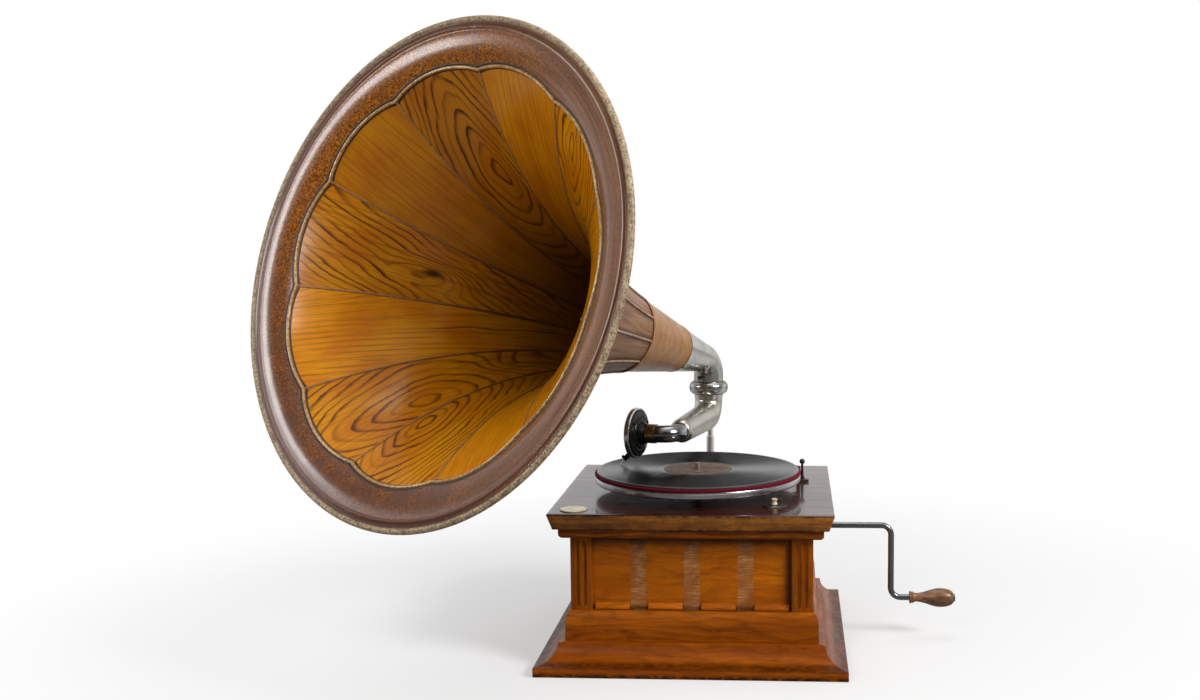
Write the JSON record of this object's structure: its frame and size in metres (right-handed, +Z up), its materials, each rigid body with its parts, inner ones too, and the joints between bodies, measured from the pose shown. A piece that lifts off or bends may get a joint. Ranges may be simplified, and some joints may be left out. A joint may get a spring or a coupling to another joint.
{
  "type": "gramophone",
  "caption": "Table gramophone: moulded wooden case with a turntable, winding crank, nickel sound arm on a back bracket and a large flared wooden horn built of scalloped panels.",
  "frame": {"origin": "centre of the case's underside, on the table", "axes": "+X to the crank side, +Y to the back, +Z up"},
  "size_m": [0.8354, 0.6442, 0.7428],
  "materials": {
    "case_wood": "satin varnish",
    "panel_wood": "satin varnish",
    "deck_wood": "gloss varnish",
    "ivory": "gloss",
    "nickel": "polished",
    "steel": "satin",
    "felt": "matt",
    "leather": "matt",
    "brass": "polished",
    "shellac": "gloss",
    "paper": "matt",
    "grip_wood": "satin varnish",
    "horn_wood": "gloss varnish",
    "sleeve_wood": "satin varnish",
    "rim_wood": "gloss varnish",
    "roll_wood": "satin varnish",
    "black": "gloss",
    "mica": "gloss"
  },
  "bodies": {
    "case": {"bottom_board": "case_wood", "plinth": "case_wood", "base_rails": "case_wood", "corner_posts": "case_wood", "front_panel": "panel_wood", "back_panel": "panel_wood", "left_panel": "panel_wood", "right_panel": "panel_wood", "panel_strips": "case_wood", "cornice": "case_wood", "deck": "deck_wood", "roundel": "ivory", "crank_escutcheon": "nickel", "speed_plate": "nickel", "brake_screw": "steel", "motor_plates": "steel", "motor_pillars": "steel", "motor_bolts": "steel", "motor_brackets": "steel", "regulator_lever": "steel", "bracket_foot": "nickel", "bracket_screws": "steel", "bracket_rod": "nickel", "swivel_ring": "nickel"},
    "brake": {"brake_lever": "steel", "brake_shoe": "leather"},
    "speed": {"speed_knob": "ivory"},
    "turntable": {"spindle": "steel", "spindle_gears": "brass", "platter": "nickel", "felt_mat": "felt", "record": "shellac", "record_label": "paper"},
    "barrel": {"spring_barrel": "brass", "mainspring": "steel"},
    "winding": {"barrel_arbor": "steel", "winding_wheel": "brass"},
    "governor": {"governor_shaft": "steel", "governor_weights": "brass"},
    "crank": {"crank_rod": "nickel", "winding_pinion": "brass"},
    "grip": {"crank_grip": "grip_wood"},
    "horn": {"elbow": "nickel", "elbow_screw": "black", "horn_sleeve": "sleeve_wood", "horn_band": "sleeve_wood", "horn_panels": "horn_wood", "outer_ribs": "sleeve_wood", "horn_rim": "rim_wood", "rim_roll": "roll_wood"},
    "tone_arm": {"tone_arm": "nickel"},
    "sound_box": {"gooseneck": "nickel", "neck_collar": "brass", "box_boss": "black", "box_back": "black", "box_ring": "nickel", "diaphragm": "mica", "needle_bar": "black", "needle_screws": "black", "needle": "nickel"}
  },
  "joints": [
    {"name": "turntable_spin", "type": "hinge", "parent": "case", "child": "turntable", "pos_m": [0, -0.011, 0.205], "axis": [0, 0, 1], "continuous": true},
    {"name": "barrel_turn", "type": "hinge", "parent": "case", "child": "barrel", "pos_m": [0.06201, 0, 0.1], "axis": [0, 0, 1], "continuous": true},
    {"name": "governor_spin", "type": "hinge", "parent": "case", "child": "governor", "pos_m": [-0.0186, 0, 0.1305], "axis": [0, 1, 0], "continuous": true},
    {"name": "crank_turn", "type": "hinge", "parent": "case", "child": "crank", "pos_m": [0.18, 0, 0.141], "axis": [1, 0, 0], "continuous": true},
    {"name": "winding_turn", "type": "hinge", "parent": "case", "child": "winding", "pos_m": [0.06201, 0, 0.13], "axis": [0, 0, 1], "continuous": true},
    {"name": "grip_spin", "type": "hinge", "parent": "crank", "child": "grip", "pos_m": [0.29, 0, 0.05], "axis": [1, 0, 0], "continuous": true},
    {"name": "speed_turn", "type": "hinge", "parent": "case", "child": "speed", "pos_m": [0.096, -0.103, 0.19], "axis": [0, 0, 1], "range_deg": [-30, 30]},
    {"name": "brake_swing", "type": "hinge", "parent": "case", "child": "brake", "pos_m": [0.12556, 0.0652, 0.188], "axis": [0, 0, 1], "range_deg": [-4, 8]},
    {"name": "horn_swivel", "type": "hinge", "parent": "case", "child": "horn", "pos_m": [0.0022, 0.1865, 0.3285], "axis": [0, 0, 1], "range_deg": [-57, 122]},
    {"name": "tone_arm_swing", "type": "hinge", "parent": "case", "child": "tone_arm", "pos_m": [0.0022, 0.1865, 0.252], "axis": [0, 0, 1], "range_deg": [-25, 16]},
    {"name": "gooseneck_lift", "type": "hinge", "parent": "tone_arm", "child": "sound_box", "pos_m": [0.0022, 0.1865, 0.252], "axis": [0.1822, 0.9833, 0], "range_deg": [0, 55]}
  ],
  "couplings": [
    {"joint": "barrel_turn", "follows": "turntable_spin", "ratio": -0.16667},
    {"joint": "governor_spin", "follows": "turntable_spin", "ratio": 12},
    {"joint": "winding_turn", "follows": "crank_turn", "ratio": 0.33333}
  ]
}
